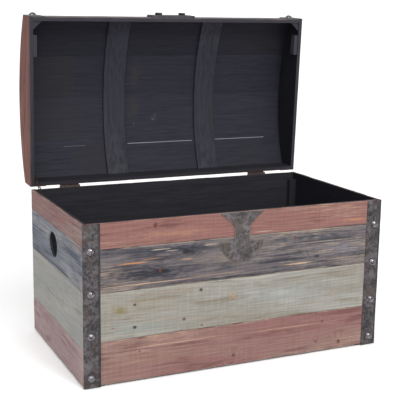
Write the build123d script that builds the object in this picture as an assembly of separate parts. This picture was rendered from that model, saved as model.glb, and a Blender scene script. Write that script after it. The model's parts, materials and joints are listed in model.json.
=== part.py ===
from build123d import *
import math
import os

# Wooden storage chest with a domed lid, shown with the lid open.
# Units are millimetres. +X runs along the front, to the right as you face it, +Y goes to the back
# and +Z is up. Pieces are drawn with the origin on the floor under the middle of the box, and moved
# forward at the end, so that the saved origin is under the middle of the whole outline, open lid included.

os.makedirs("parts", exist_ok=True)

# Box
LENGTH = 760.0
DEPTH = 420.0
RIM_HEIGHT = 370.0
OUTLINE_MIDDLE_Y = 49.5
WALL = 10.0
FLOOR_THICK = 10.0
FOOT_THICK = 4.0
FOOT_SIZE = 46.0
FOOT_INSET = 6.0
ARRIS = 0.8
SOFT_CORNER = 2.4
BATTEN = 18.0
BATTEN_BELOW_RIM = 18.0
FRONT_JOINTS = (58.0, 156.0, 266.0)
SIDE_JOINTS = (50.0, 150.0, 280.0)

# Hand holes, through the second plank of each side
HAND_HOLE_HALF_Y = 36.0
HAND_HOLE_HALF_Z = 30.0
HAND_HOLE_Y = 20.0
HAND_HOLE_BELOW_RIM = 97.0
HAND_HOLE_ROUND = 2.0

# Lid
LID_OPEN_DEG = 87.3
RIM_GAP = 0.5
LID_SIDE = 57.0
LID_CROWN = 104.0
STAVE_SEAMS = (-106.0, 2.0, 126.0)
SKIN_GAP = 0.1
RIB_X = 131.0
RIB_WIDTH = 58.0
RIB_THICK = 6.0
GUSSET_X = 23.0
GUSSET_Y = 22.0
GUSSET_THICK = 6.0
GUSSET_ABOVE_RIM = 3.0
END_BLOCK = (10.0, 52.0, 20.0)
END_BLOCK_FROM_FRONT = 44.0
END_BLOCK_ABOVE_RIM = 2.0

# Iron straps and their dome-headed studs
STRAP_WIDTH = 40.0
STRAP_THICK = 2.0
STRAP_ABOVE_RIM = 2.0
STRIP_ABOVE_FLOOR = 1.5
STUD_IN = 18.0
STUD_BELOW_RIM = 60.0
STUD_PITCH = 95.5
STUD_ROWS = 4
STUD_HEAD = (10.0, 6.5)
STUD_SHANK = (1.6, 11.0)
LID_STUD_ABOVE_RIM = 42.0
LID_STUD_YS = (-120.0, 0.0, 120.0)

# Lock plate on the box and cover plate on the lid
LOCK_THICK = 2.5
LOCK_TOP_HALF = 54.0
LOCK_TOP_EDGE = 4.0
LOCK_SHANK_HALF = 19.0
LOCK_FLARE = 36.0
LOCK_BEND = (32.0, -21.0)
LOCK_MOON_TOP = 69.0
LOCK_MOON_HALF = 56.0
LOCK_BOTTOM = 118.0
LOCK_RIVETS = ((0.0, 16.0), (-34.0, 84.0), (34.0, 84.0))
RIVET_HEAD = (4.0, 1.5)
RIVET_R = 1.5
COVER_HALF = 57.5
COVER_Z = (1.0, 48.0)
COVER_THICK = 5.5
COVER_CHAMFER = 0.8
BOLT_X = 32.5
BOLT_ABOVE_RIM = 29.0
BOLT_FLATS = 17.0
BOLT_HEAD = 6.0
BOLT_R = 3.0

# Butt hinges on the back
HINGE_XS = (-278.0, 260.0)
HINGE_WIDTH = 50.0
HINGE_OUT = 5.0
LEAF_THICK = 2.0
LEAF_REACH = 38.0
LEAF_START = 5.2
KNUCKLES = 5
KNUCKLE_GAP = 0.4
BARREL_R = 4.5
PIN_R = 2.0
PIN_CLEARANCE = 0.05
PIN_HEAD = (3.2, 1.5)
SCREW_OFFS = ((-17.0, 14.0), (0.0, 27.0), (17.0, 14.0))
SCREW_HEAD = (3.4, 1.4)
SCREW_R = 1.6
SCREW_LONG = 9.0
HOLE_CLEARANCE = 0.1

# Stay chain at the left end, from a screw in the box to a screw in the lid
STAY_OUT = 5.5
STAY_BOX = (-96.0, -31.0)
STAY_LID = (-26.0, 11.0)
STAY_SHANK_R = 1.4
STAY_SHANK_IN = 8.0
STAY_HEAD = (3.6, 2.0)
LINK_WIRE_R = 0.9
LINK_LONG = 12.0
LINK_WIDE = 7.2
LINK_PITCH = 8.2
LINK_GAP = 0.3

# Worked out from the above
HALF_X = LENGTH / 2
HALF_Y = DEPTH / 2
IN_X = HALF_X - WALL
IN_Y = HALF_Y - WALL
BOX_BOTTOM = FOOT_THICK
LID_Z = RIM_HEIGHT + RIM_GAP
HINGE_Y = HALF_Y + HINGE_OUT
HINGE_Z = RIM_HEIGHT + RIM_GAP / 2
DOME_RISE = LID_CROWN - LID_SIDE
DOME_R = (HALF_Y**2 + DOME_RISE**2) / (2 * DOME_RISE)
DOME_CENTRE = LID_Z + LID_CROWN - DOME_R
STRAP_MID = HALF_X - STRAP_WIDTH / 2
FACING_FRONT = Rot(90, 0, 0)
FACING_BACK = Rot(-90, 0, 0)
FACING_RIGHT = Rot(0, 90, 0)


def block(x_span, y_span, z_span):
    """A rectangular block between two corners."""
    (x0, x1), (y0, y1), (z0, z1) = x_span, y_span, z_span
    return Pos((x0 + x1) / 2, (y0 + y1) / 2, (z0 + z1) / 2) * Box(x1 - x0, y1 - y0, z1 - z0)


def ease(solid, axis, side):
    """Take the sharp arris off the long edges of a board's outer face."""
    face = solid.faces().sort_by(axis)[side]
    return chamfer(face.edges(), ARRIS)


def side_prism(outline, x0, x1):
    """A solid with a Y-Z outline, running from x0 to x1."""
    return Pos(x0, 0, 0) * extrude(Plane.YZ * make_face(outline), x1 - x0)


def headed_pin(head, shank_r, shank_long):
    """A dome-headed pin: the head stands on Z = 0 and the shank goes down."""
    head_r, head_high = head
    ball_r = (head_r**2 + head_high**2) / (2 * head_high)
    half_turn = math.asin(min(1.0, head_r / ball_r)) / 2
    middle = (ball_r * math.sin(half_turn), head_high - ball_r + ball_r * math.cos(half_turn))
    corners = ((0, head_high), (0, -shank_long), (shank_r, -shank_long), (shank_r, 0), (head_r, 0))
    outline = Polyline(*corners) + ThreePointArc((head_r, 0), middle, (0, head_high))
    return revolve(Plane.XZ * make_face(outline), Axis.Z, 360)


def placed(piece, places):
    return [place * piece for place in places]


def shank_holes(places, radius, depth):
    """Clearance holes for shanks that start at each place."""
    drill = Pos(0, 0, -depth / 2) * Cylinder(radius + HOLE_CLEARANCE, depth + 2)
    return placed(drill, places)


def cut(solid, tools):
    """Take away the tools that reach into the solid's box."""
    box = solid.bounding_box()
    for tool in tools:
        other = tool.bounding_box()
        apart = (
            other.min.X > box.max.X
            or other.max.X < box.min.X
            or other.min.Y > box.max.Y
            or other.max.Y < box.min.Y
            or other.min.Z > box.max.Z
            or other.max.Z < box.min.Z
        )
        if not apart:
            solid = solid - tool
    return solid


def opened(shape):
    """Turn a piece of the closed lid back to the open position."""
    turn = Pos(0, HINGE_Y, HINGE_Z) * Rot(-LID_OPEN_DEG, 0, 0) * Pos(0, -HINGE_Y, -HINGE_Z)
    return turn * shape


def dome_height(y, radius):
    return DOME_CENTRE + math.sqrt(radius**2 - y**2)


def dome_outline(half_y, radius, bottom):
    """Closed outline of the lid's section: straight sides and one arc."""
    shoulder = dome_height(half_y, radius)
    outline = Polyline((-half_y, shoulder), (-half_y, bottom), (half_y, bottom), (half_y, shoulder))
    outline += ThreePointArc((half_y, shoulder), (0, dome_height(0, radius)), (-half_y, shoulder))
    return outline


def ring_outline(inner, outer, start, end):
    """Section of a bent strip between two radii; start and end are (inner y, outer y)."""
    low = [(y, dome_height(y, inner)) for y in (start[0], (start[0] + end[0]) / 2, end[0])]
    high = [(y, dome_height(y, outer)) for y in (start[1], (start[1] + end[1]) / 2, end[1])]
    outline = ThreePointArc(*low) + Line(low[2], high[2])
    outline += ThreePointArc(*reversed(high)) + Line(high[0], low[0])
    return outline


# Places of the fasteners. Each is a location whose Z points out of the surface.


def box_stud_places():
    places = []
    for side in (-1, 1):
        for row in range(STUD_ROWS):
            z = RIM_HEIGHT - STUD_BELOW_RIM - row * STUD_PITCH
            places.append(Pos(side * (HALF_X - STUD_IN), -HALF_Y - STRAP_THICK, z) * FACING_FRONT)
    return places


def lid_stud_places():
    places = []
    for side in (-1, 1):
        x = side * STRAP_MID
        z = LID_Z + LID_STUD_ABOVE_RIM
        places.append(Pos(x, -HALF_Y - STRAP_THICK, z) * FACING_FRONT)
        places.append(Pos(x, HALF_Y + STRAP_THICK, z) * FACING_BACK)
        for y in LID_STUD_YS:
            lean = math.asin(y / DOME_R)
            out = DOME_R + STRAP_THICK + SKIN_GAP
            spot = Pos(x, out * math.sin(lean), DOME_CENTRE + out * math.cos(lean))
            places.append(spot * Rot(-math.degrees(lean), 0, 0))
    return places


def rivet_places():
    return [Pos(x, -IN_Y, RIM_HEIGHT - down) * FACING_BACK for x, down in LOCK_RIVETS]


def bolt_places():
    z = LID_Z + BOLT_ABOVE_RIM
    return [Pos(side * BOLT_X, -HALF_Y - COVER_THICK, z) * FACING_FRONT for side in (-1, 1)]


def hinge_screw_places(up):
    y = HALF_Y + LEAF_THICK
    return [
        Pos(x + dx, y, HINGE_Z + up * reach) * FACING_BACK for x in HINGE_XS for dx, reach in SCREW_OFFS
    ]


def stay_screw_place(reach):
    """Where a stay screw's head starts, clear of the chain; reach is from the hinge axis."""
    x = -IN_X + STAY_OUT + LINK_WIRE_R + LINK_GAP
    return Pos(x, HINGE_Y + reach[0], HINGE_Z + reach[1]) * FACING_RIGHT


# Box


def joint_spans(joints):
    """Height spans of the planks between the given joints, from the top one down."""
    edges = [RIM_HEIGHT] + [RIM_HEIGHT - joint for joint in joints] + [BOX_BOTTOM]
    return list(zip(edges[1:], edges[:-1]))


def front_planks():
    tools = shank_holes(box_stud_places(), STUD_SHANK[0], STUD_SHANK[1])
    tools += shank_holes(rivet_places(), RIVET_R, WALL)
    planks = {}
    for number, span in enumerate(joint_spans(FRONT_JOINTS), 1):
        plank = ease(block((-IN_X, IN_X), (-HALF_Y, -IN_Y), span), Axis.Y, 0)
        planks[f"front_plank_{number}"] = cut(plank, tools)
    return planks


def back_planks():
    tools = shank_holes(hinge_screw_places(-1), SCREW_R, SCREW_LONG)
    planks = {}
    for number, span in enumerate(joint_spans(FRONT_JOINTS), 1):
        plank = ease(block((-IN_X, IN_X), (IN_Y, HALF_Y), span), Axis.Y, -1)
        planks[f"back_plank_{number}"] = cut(plank, tools)
    return planks


def hand_hole():
    outline = Plane.YZ * Pos(HAND_HOLE_Y, RIM_HEIGHT - HAND_HOLE_BELOW_RIM) * Ellipse(
        HAND_HOLE_HALF_Y, HAND_HOLE_HALF_Z
    )
    return extrude(outline, LENGTH, both=True)


def side_planks(side, name):
    tools = shank_holes([stay_screw_place(STAY_BOX)], STAY_SHANK_R, STAY_SHANK_IN + STAY_OUT)
    tools += shank_holes(box_stud_places(), STUD_SHANK[0], STUD_SHANK[1])
    planks = {}
    for number, span in enumerate(joint_spans(SIDE_JOINTS), 1):
        plank = block(sorted((side * IN_X, side * HALF_X)), (-HALF_Y, HALF_Y), span)
        plank = ease(plank, Axis.X, 0 if side < 0 else -1)
        if number == 2:
            plank = plank - hand_hole()
            rims = plank.edges().filter_by(GeomType.LINE, reverse=True)
            plank = fillet(rims, HAND_HOLE_ROUND)
        planks[f"{name}_plank_{number}"] = cut(plank, tools)
    return planks


def floor_board():
    return block((-IN_X, IN_X), (-IN_Y, IN_Y), (BOX_BOTTOM, BOX_BOTTOM + FLOOR_THICK))


def corner_battens():
    z_span = (BOX_BOTTOM + FLOOR_THICK, RIM_HEIGHT - BATTEN_BELOW_RIM)
    battens = []
    for sx in (-1, 1):
        for sy in (-1, 1):
            x_span = sorted((sx * IN_X, sx * (IN_X - BATTEN)))
            y_span = sorted((sy * IN_Y, sy * (IN_Y - BATTEN)))
            batten = block(x_span, y_span, z_span)
            corner = batten.edges().filter_by(Axis.Z).sort_by_distance((0, 0, z_span[0]))[0]
            battens.append(chamfer(corner, SOFT_CORNER))
    return Compound(battens)


def feet():
    pads = []
    for sx in (-1, 1):
        for sy in (-1, 1):
            x_span = sorted((sx * (HALF_X - FOOT_INSET), sx * (HALF_X - FOOT_INSET - FOOT_SIZE)))
            y_span = sorted((sy * (HALF_Y - FOOT_INSET), sy * (HALF_Y - FOOT_INSET - FOOT_SIZE)))
            pad = block(x_span, y_span, (0, FOOT_THICK))
            pads.append(fillet(pad.edges().filter_by(Axis.Z), SOFT_CORNER))
    return Compound(pads)


def corner_strip(side):
    x_span = sorted((side * HALF_X, side * (HALF_X - STRAP_WIDTH)))
    strip = block(x_span, (-HALF_Y - STRAP_THICK, -HALF_Y), (STRIP_ABOVE_FLOOR, RIM_HEIGHT))
    strip = ease(strip, Axis.Y, 0)
    return cut(strip, shank_holes(box_stud_places(), STUD_SHANK[0], STUD_SHANK[1]))


def lock_plate():
    """Flared head, straight shank and half-moon foot, on the middle of the front."""
    half = Polyline((0, 0), (LOCK_TOP_HALF, 0), (LOCK_TOP_HALF, -LOCK_TOP_EDGE))
    waist = (LOCK_SHANK_HALF, -LOCK_FLARE)
    half += ThreePointArc((LOCK_TOP_HALF, -LOCK_TOP_EDGE), LOCK_BEND, waist)
    half += Polyline(waist, (LOCK_SHANK_HALF, -LOCK_MOON_TOP), (LOCK_MOON_HALF, -LOCK_MOON_TOP))
    deep = LOCK_BOTTOM - LOCK_MOON_TOP
    moon_r = (LOCK_MOON_HALF**2 + deep**2) / (2 * deep)
    quarter = math.asin(LOCK_MOON_HALF / moon_r) / 2
    middle = (moon_r * math.sin(quarter), moon_r - LOCK_BOTTOM - moon_r * math.cos(quarter))
    half += ThreePointArc((LOCK_MOON_HALF, -LOCK_MOON_TOP), middle, (0, -LOCK_BOTTOM))
    half += Line((0, -LOCK_BOTTOM), (0, 0))
    right = Pos(0, -HALF_Y, RIM_HEIGHT) * extrude(Plane.XZ * make_face(half), LOCK_THICK)
    plate = right + mirror(right, about=Plane.YZ)
    front = plate.faces().sort_by(Axis.Y)[0]
    return chamfer(front.edges(), ARRIS)


def lock_rivets():
    """Rivets that hold the lock plate, with their heads on the inside of the box."""
    return Compound(placed(headed_pin(RIVET_HEAD, RIVET_R, WALL), rivet_places()))


def box_studs():
    return Compound(placed(headed_pin(STUD_HEAD, *STUD_SHANK), box_stud_places()))


# Lid, drawn closed and then turned open


def lid_front_board():
    shoulder = dome_height(HALF_Y, DOME_R)
    inner = dome_height(IN_Y, DOME_R)
    outline = Polyline(
        (-HALF_Y, LID_Z), (-IN_Y, LID_Z), (-IN_Y, inner), (-HALF_Y, shoulder), (-HALF_Y, LID_Z)
    )
    board = side_prism(outline, -IN_X, IN_X)
    tools = shank_holes(bolt_places(), BOLT_R, COVER_THICK + WALL)
    tools += shank_holes(lid_stud_places(), STUD_SHANK[0], STUD_SHANK[1])
    return cut(board, tools)


def lid_rear_board():
    shoulder = dome_height(HALF_Y, DOME_R)
    inner = dome_height(IN_Y, DOME_R)
    outline = Polyline(
        (HALF_Y, LID_Z), (IN_Y, LID_Z), (IN_Y, inner), (HALF_Y, shoulder), (HALF_Y, LID_Z)
    )
    board = side_prism(outline, -IN_X, IN_X)
    tools = shank_holes(hinge_screw_places(1), SCREW_R, SCREW_LONG)
    tools += shank_holes(lid_stud_places(), STUD_SHANK[0], STUD_SHANK[1])
    return cut(board, tools)


def lid_end_panel(side):
    x_span = sorted((side * IN_X, side * HALF_X))
    panel = side_prism(dome_outline(HALF_Y, DOME_R, LID_Z), *x_span)
    panel = ease(panel, Axis.X, 0 if side < 0 else -1)
    tools = shank_holes([stay_screw_place(STAY_LID)], STAY_SHANK_R, STAY_SHANK_IN + STAY_OUT)
    return cut(panel, tools)


def lid_staves():
    """Bent boards side by side, from the front board to the rear board."""
    inner_r = DOME_R - WALL
    edges = [(-IN_Y, -IN_Y)]
    edges += [(y, y * DOME_R / inner_r) for y in STAVE_SEAMS]
    edges += [(IN_Y, IN_Y)]
    tools = shank_holes(lid_stud_places(), STUD_SHANK[0], STUD_SHANK[1])
    staves = {}
    for number in range(1, len(edges)):
        outline = ring_outline(inner_r, DOME_R, edges[number - 1], edges[number])
        staves[f"lid_stave_{number}"] = cut(side_prism(outline, -IN_X, IN_X), tools)
    return staves


def lid_rib(side):
    """Bent batten that holds the staves together from inside."""
    outer_r = DOME_R - WALL - SKIN_GAP
    inner_r = outer_r - RIB_THICK
    reach = IN_Y - SKIN_GAP
    outline = ring_outline(inner_r, outer_r, (-reach, -reach), (reach, reach))
    centre = side * RIB_X
    return side_prism(outline, centre - RIB_WIDTH / 2, centre + RIB_WIDTH / 2)


def lid_strap(side):
    """Flat iron strap bent over the end of the lid, from rim to rim."""
    inner_r = DOME_R + SKIN_GAP
    bottom = LID_Z + STRAP_ABOVE_RIM
    outer = make_face(dome_outline(HALF_Y + STRAP_THICK, inner_r + STRAP_THICK, bottom))
    inner = make_face(dome_outline(HALF_Y, inner_r, LID_Z))
    x0 = min(side * HALF_X, side * (HALF_X - STRAP_WIDTH))
    strap = Pos(x0, 0, 0) * extrude(Plane.YZ * (outer - inner), STRAP_WIDTH)
    return cut(strap, shank_holes(lid_stud_places(), STUD_SHANK[0], STUD_SHANK[1]))


def lid_studs():
    return Compound(placed(headed_pin(STUD_HEAD, *STUD_SHANK), lid_stud_places()))


def lid_cover_plate():
    z_span = (LID_Z + COVER_Z[0], LID_Z + COVER_Z[1])
    plate = block((-COVER_HALF, COVER_HALF), (-HALF_Y - COVER_THICK, -HALF_Y), z_span)
    front = plate.faces().sort_by(Axis.Y)[0]
    plate = chamfer(front.edges(), COVER_CHAMFER)
    return cut(plate, shank_holes(bolt_places(), BOLT_R, COVER_THICK + WALL))


def lid_cover_bolts():
    head = extrude(RegularPolygon(BOLT_FLATS / 2, 6, major_radius=False), BOLT_HEAD)
    head = chamfer(head.faces().sort_by(Axis.Z)[-1].edges(), ARRIS)
    shank_long = COVER_THICK + WALL
    bolt = head + Pos(0, 0, -shank_long / 2) * Cylinder(BOLT_R, shank_long)
    return Compound(placed(bolt, bolt_places()))


def lid_gussets():
    """Small triangles across the two front corners, just inside the rim."""
    z0 = LID_Z + GUSSET_ABOVE_RIM
    gussets = []
    for side in (-1, 1):
        corner = (side * IN_X, -IN_Y)
        points = [corner, (side * (IN_X - GUSSET_X), -IN_Y), (side * IN_X, -IN_Y + GUSSET_Y), corner]
        gussets.append(extrude(Pos(0, 0, z0) * make_face(Polyline(*points)), GUSSET_THICK))
    return Compound(gussets)


def lid_end_blocks():
    thick, long, high = END_BLOCK
    y0 = -HALF_Y + END_BLOCK_FROM_FRONT
    z0 = LID_Z + END_BLOCK_ABOVE_RIM
    blocks = []
    for side in (-1, 1):
        x_span = sorted((side * IN_X, side * (IN_X - thick)))
        piece = block(x_span, (y0, y0 + long), (z0, z0 + high))
        blocks.append(chamfer(piece.edges().filter_by(Axis.Y), ARRIS))
    return Compound(blocks)


# Hinges


def hinge_leaf(x_centre, up):
    """One leaf of a butt hinge: up is 1 for the lid's leaf and -1 for the box's."""
    x0 = x_centre - HINGE_WIDTH / 2
    plate_z = sorted((HINGE_Z + up * LEAF_START, HINGE_Z + up * LEAF_REACH))
    leaf = block((x0, x0 + HINGE_WIDTH), (HALF_Y, HALF_Y + LEAF_THICK), plate_z)
    corners = leaf.edges().filter_by(Axis.Y).sort_by(Axis.Z)
    leaf = fillet(corners[2:] if up > 0 else corners[:2], SOFT_CORNER)
    step = HINGE_WIDTH / KNUCKLES
    for number in range(1 if up > 0 else 0, KNUCKLES, 2):
        k0 = x0 + number * step + KNUCKLE_GAP / 2
        k1 = x0 + (number + 1) * step - KNUCKLE_GAP / 2
        web_z = sorted((HINGE_Z, HINGE_Z + up * LEAF_START))
        leaf += block((k0, k1), (HALF_Y, HALF_Y + LEAF_THICK), web_z)
        leaf += Pos((k0 + k1) / 2, HINGE_Y, HINGE_Z) * FACING_RIGHT * Cylinder(BARREL_R, k1 - k0)
    bore = Cylinder(PIN_R + PIN_CLEARANCE, 2 * HINGE_WIDTH)
    leaf -= Pos(x_centre, HINGE_Y, HINGE_Z) * FACING_RIGHT * bore
    return cut(leaf, shank_holes(hinge_screw_places(up), SCREW_R, SCREW_LONG))


def hinge_leaves(up):
    return Compound([hinge_leaf(x, up) for x in HINGE_XS])


def hinge_pins():
    head_r, head_long = PIN_HEAD
    pins = []
    for x in HINGE_XS:
        pin = Cylinder(PIN_R, HINGE_WIDTH)
        for side in (-1, 1):
            pin += Pos(0, 0, side * (HINGE_WIDTH + head_long) / 2) * Cylinder(head_r, head_long)
        pins.append(Pos(x, HINGE_Y, HINGE_Z) * FACING_RIGHT * pin)
    return Compound(pins)


def hinge_screws(up):
    return Compound(placed(headed_pin(SCREW_HEAD, SCREW_R, SCREW_LONG), hinge_screw_places(up)))


# Stay chain


def stay_screw(reach):
    pin = headed_pin(STAY_HEAD, STAY_SHANK_R, STAY_SHANK_IN + STAY_OUT)
    return stay_screw_place(reach) * pin


def turned_open(reach):
    """Where a point of the closed lid, given from the hinge axis, lies on the open lid."""
    turn = math.radians(LID_OPEN_DEG)
    y, z = reach
    return (y * math.cos(turn) + z * math.sin(turn), z * math.cos(turn) - y * math.sin(turn))


def chain_link():
    """An oval wire link lying in the X-Y plane, long along X."""
    end_r = LINK_WIDE / 2 - LINK_WIRE_R
    straight = LINK_LONG / 2 - LINK_WIDE / 2
    link = None
    for side in (-1, 1):
        bar = Pos(0, side * end_r, 0) * FACING_RIGHT * Cylinder(LINK_WIRE_R, 2 * straight)
        section = Plane.XZ * Pos(end_r, 0) * Circle(LINK_WIRE_R)
        bend = Pos(side * straight, 0, 0) * Rot(0, 0, -90 * side) * revolve(section, Axis.Z, 180)
        link = bar + bend if link is None else link + bar + bend
    return link


def stay_chain():
    """Links in a straight line between the two screws, every second one turned."""
    start = STAY_BOX
    end = turned_open(STAY_LID)
    run = math.dist(start, end)
    hook = LINK_LONG / 2 - 2 * LINK_WIRE_R - STAY_SHANK_R - LINK_GAP
    gaps = 2 * round((run - 2 * hook) / LINK_PITCH / 2)
    pitch = (run - 2 * hook) / gaps
    slope = math.degrees(math.atan2(end[1] - start[1], end[0] - start[0]))
    line = Pos(-IN_X + STAY_OUT, HINGE_Y + start[0], HINGE_Z + start[1])
    line = line * Rot(slope, 0, 0) * Rot(0, 0, 90)
    links = []
    for number in range(gaps + 1):
        flat = Rot(90, 0, 0) if number % 2 == 0 else Rot(0, 0, 0)
        links.append(line * Pos(hook + number * pitch, 0, 0) * flat * chain_link())
    return Compound(links)


def build():
    box = {}
    box.update(front_planks())
    box.update(back_planks())
    box.update(side_planks(-1, "left"))
    box.update(side_planks(1, "right"))
    box["floor_board"] = floor_board()
    box["corner_battens"] = corner_battens()
    box["feet"] = feet()
    box["front_strip_left"] = corner_strip(-1)
    box["front_strip_right"] = corner_strip(1)
    box["front_strip_studs"] = box_studs()
    box["lock_plate"] = lock_plate()
    box["lock_plate_rivets"] = lock_rivets()
    box["hinge_leaves_box"] = hinge_leaves(-1)
    box["hinge_screws_box"] = hinge_screws(-1)
    box["hinge_pins"] = hinge_pins()
    box["stay_screw_box"] = stay_screw(STAY_BOX)
    box["stay_chain"] = stay_chain()

    lid = {}
    lid["lid_front_board"] = lid_front_board()
    lid["lid_rear_board"] = lid_rear_board()
    lid["lid_end_left"] = lid_end_panel(-1)
    lid["lid_end_right"] = lid_end_panel(1)
    lid.update(lid_staves())
    lid["lid_rib_left"] = lid_rib(-1)
    lid["lid_rib_right"] = lid_rib(1)
    lid["lid_strap_left"] = lid_strap(-1)
    lid["lid_strap_right"] = lid_strap(1)
    lid["lid_strap_studs"] = lid_studs()
    lid["lid_cover_plate"] = lid_cover_plate()
    lid["lid_cover_bolts"] = lid_cover_bolts()
    lid["lid_gussets"] = lid_gussets()
    lid["lid_end_blocks"] = lid_end_blocks()
    lid["hinge_leaves_lid"] = hinge_leaves(1)
    lid["hinge_screws_lid"] = hinge_screws(1)
    lid["stay_screw_lid"] = stay_screw(STAY_LID)

    centred = Pos(0, -OUTLINE_MIDDLE_Y, 0)
    for name, shape in box.items():
        export_step(centred * shape, f"parts/{name}.step")
    for name, shape in lid.items():
        export_step(centred * opened(shape), f"parts/{name}.step")


build()
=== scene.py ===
import json
import math

import bmesh
import bpy
import numpy as np
from mathutils import Matrix, Vector

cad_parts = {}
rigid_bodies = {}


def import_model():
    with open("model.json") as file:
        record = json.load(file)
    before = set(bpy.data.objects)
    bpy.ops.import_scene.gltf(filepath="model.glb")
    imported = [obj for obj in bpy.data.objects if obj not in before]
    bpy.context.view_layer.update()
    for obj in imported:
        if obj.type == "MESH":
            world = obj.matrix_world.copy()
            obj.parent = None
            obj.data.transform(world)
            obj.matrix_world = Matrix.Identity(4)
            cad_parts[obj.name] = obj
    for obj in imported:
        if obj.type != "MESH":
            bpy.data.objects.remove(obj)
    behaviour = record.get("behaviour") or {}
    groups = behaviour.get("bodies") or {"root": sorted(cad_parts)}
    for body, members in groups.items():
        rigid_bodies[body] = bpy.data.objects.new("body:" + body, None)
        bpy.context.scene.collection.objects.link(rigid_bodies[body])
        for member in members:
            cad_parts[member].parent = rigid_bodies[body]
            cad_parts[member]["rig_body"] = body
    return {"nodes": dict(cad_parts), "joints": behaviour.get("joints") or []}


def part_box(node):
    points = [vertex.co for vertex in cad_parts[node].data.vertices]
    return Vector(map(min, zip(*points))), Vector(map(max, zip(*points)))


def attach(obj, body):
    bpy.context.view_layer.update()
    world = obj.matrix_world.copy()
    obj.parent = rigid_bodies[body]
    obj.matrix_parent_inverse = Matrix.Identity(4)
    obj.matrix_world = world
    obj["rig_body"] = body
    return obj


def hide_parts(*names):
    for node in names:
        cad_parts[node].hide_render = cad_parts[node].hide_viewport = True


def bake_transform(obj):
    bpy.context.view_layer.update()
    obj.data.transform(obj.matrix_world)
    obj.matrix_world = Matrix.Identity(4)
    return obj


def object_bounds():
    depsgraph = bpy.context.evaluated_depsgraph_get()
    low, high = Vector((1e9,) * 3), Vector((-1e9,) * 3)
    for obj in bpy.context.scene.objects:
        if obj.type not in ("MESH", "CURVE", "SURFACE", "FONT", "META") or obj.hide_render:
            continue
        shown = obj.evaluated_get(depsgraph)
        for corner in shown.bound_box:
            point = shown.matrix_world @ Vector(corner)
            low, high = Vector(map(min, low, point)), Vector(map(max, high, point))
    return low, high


# Looks for a wooden chest with a domed lid, standing open. Metres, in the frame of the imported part.
# Boards and iron strips are rebuilt with worn, uneven surfaces inside the shapes they stand for.
# Each of them keeps its own coordinates in the attribute BOARD: along the piece, across it, and
# depth from the hidden face out.

MM = 0.001
BOARD = "board"

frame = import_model()
CAD_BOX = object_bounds()
NODES = frame["nodes"]
HINGE = frame["joints"][0]

# Colours are given as they show in the studio's light, in 0 to 255. The light brightens a surface by
# this much, so a surface's own colour is that much darker.
STUDIO_GAIN = 1.50

# Each board: two main tones, the dark of the grain lines and old stain, the pale of worn-through
# wood, and how much of the surface the dark and the pale take.
LOOKS = {
    "red": ((152, 108, 102), (153, 113, 104), (108, 68, 64), (192, 160, 136), 0.32, 0.30),
    "slate": ((118, 110, 112), (125, 118, 117), (54, 55, 66), (190, 166, 146), 0.55, 0.46),
    "sage": ((156, 152, 142), (172, 172, 167), (134, 122, 104), (188, 170, 146), 0.34, 0.28),
    "rust": ((152, 112, 108), (158, 128, 120), (116, 76, 74), (192, 156, 136), 0.34, 0.26),
    "side_red": ((146, 110, 106), (156, 132, 126), (112, 80, 78), (176, 156, 144), 0.34, 0.30),
    "side_slate": ((116, 120, 131), (142, 143, 148), (66, 72, 88), (166, 166, 168), 0.55, 0.36),
    "side_sage": ((156, 157, 155), (168, 167, 163), (132, 126, 116), (180, 170, 158), 0.30, 0.28),
    "side_rust": ((164, 136, 137), (172, 148, 148), (132, 98, 100), (186, 166, 158), 0.34, 0.26),
    "lid_end": ((128, 72, 63), (142, 90, 77), (72, 42, 38), (156, 112, 97), 0.50, 0.20),
}
BLACK_BOX = ((30, 30, 37), (50, 50, 57))
BLACK_END = ((18, 18, 27), (32, 32, 43))
# The black inside of each lid board. It is darkest on the front board and the first stave, at the top of
# the open lid, and lightest on the third and fourth staves: partly stain, partly painted shade.
LID_BLACK_STAIN_AND_SHADE = {
    "lid_front_board": ((21, 21, 31), (34, 34, 45)),
    "lid_stave_1": ((22, 22, 34), (34, 34, 47)),
    "lid_stave_2": ((29, 29, 43), (43, 44, 58)),
    "lid_stave_3": ((34, 34, 48), (50, 51, 65)),
    "lid_stave_4": ((33, 33, 46), (49, 49, 62)),
    "lid_rear_board": ((28, 27, 34), (44, 42, 49)),
}
LID_RIM = (56, 54, 61)
STRAP_EDGE_SHADE = (44, 43, 48)
KNOT_BROWN = (84, 52, 44)
SOOT = (46, 46, 56)
ORANGE = (204, 142, 98)
TAN = (176, 146, 124)
PALE = (196, 180, 160)

# How many cells of noise there are in a metre of board: along, across and through it.
FIBRES = (16, 430, 120)
GRAIN = (5, 110, 40)
BROAD_TONE = (2.4, 11, 10)
BLOTCHES = (9, 30, 10)
SAW_MARKS = (170, 12, 10)
WANDER = (1.6, 9, 5)
RAGGED_EDGE = (55, 240, 60)
BROKEN_WEAR = (22, 60, 60)
GROWTH_LINES = 115.0

# How far apart the grid lines of a board's and a strip's surface are, and where those near an end lie.
BOARD_PITCH = 6 * MM
STRAP_PITCH = 4 * MM
EDGE_LINES = (0.7 * MM, 1.6 * MM, 3.0 * MM)
BOARD_LAYERS = np.array([0, 0.35, 0.7, 1.0])
STRIP_LAYERS = np.array([0, 0.5, 1.0])

# Depth of the dents in a face, radius of its worn edges, and how far its sides wander.
BOARD_WEAR = (0.5 * MM, 1.1 * MM, 0.7 * MM)
LID_END_WEAR = (0.4 * MM, 0.9 * MM, 0.3 * MM)
STRIP_WEAR = (0.0, 0.7 * MM, 0.6 * MM)
HAMMER_DEPTH = 0.5 * MM
CREASE = math.radians(32)

HOLE_LIP = 2.2 * MM
HOLE_POINTS = 72
HOLE_STEPS = 8

# The camera: where it stands from the middle of the floor board, and from the floor up, in metres.
CAMERA_PLACE = (-0.9501, -2.0420, 0.8207)
CAMERA_YAW, CAMERA_DOWN, CAMERA_LEAN = (math.radians(v) for v in (24.71, 11.67, 0.84))
CAMERA_LENS = 83.61


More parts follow.
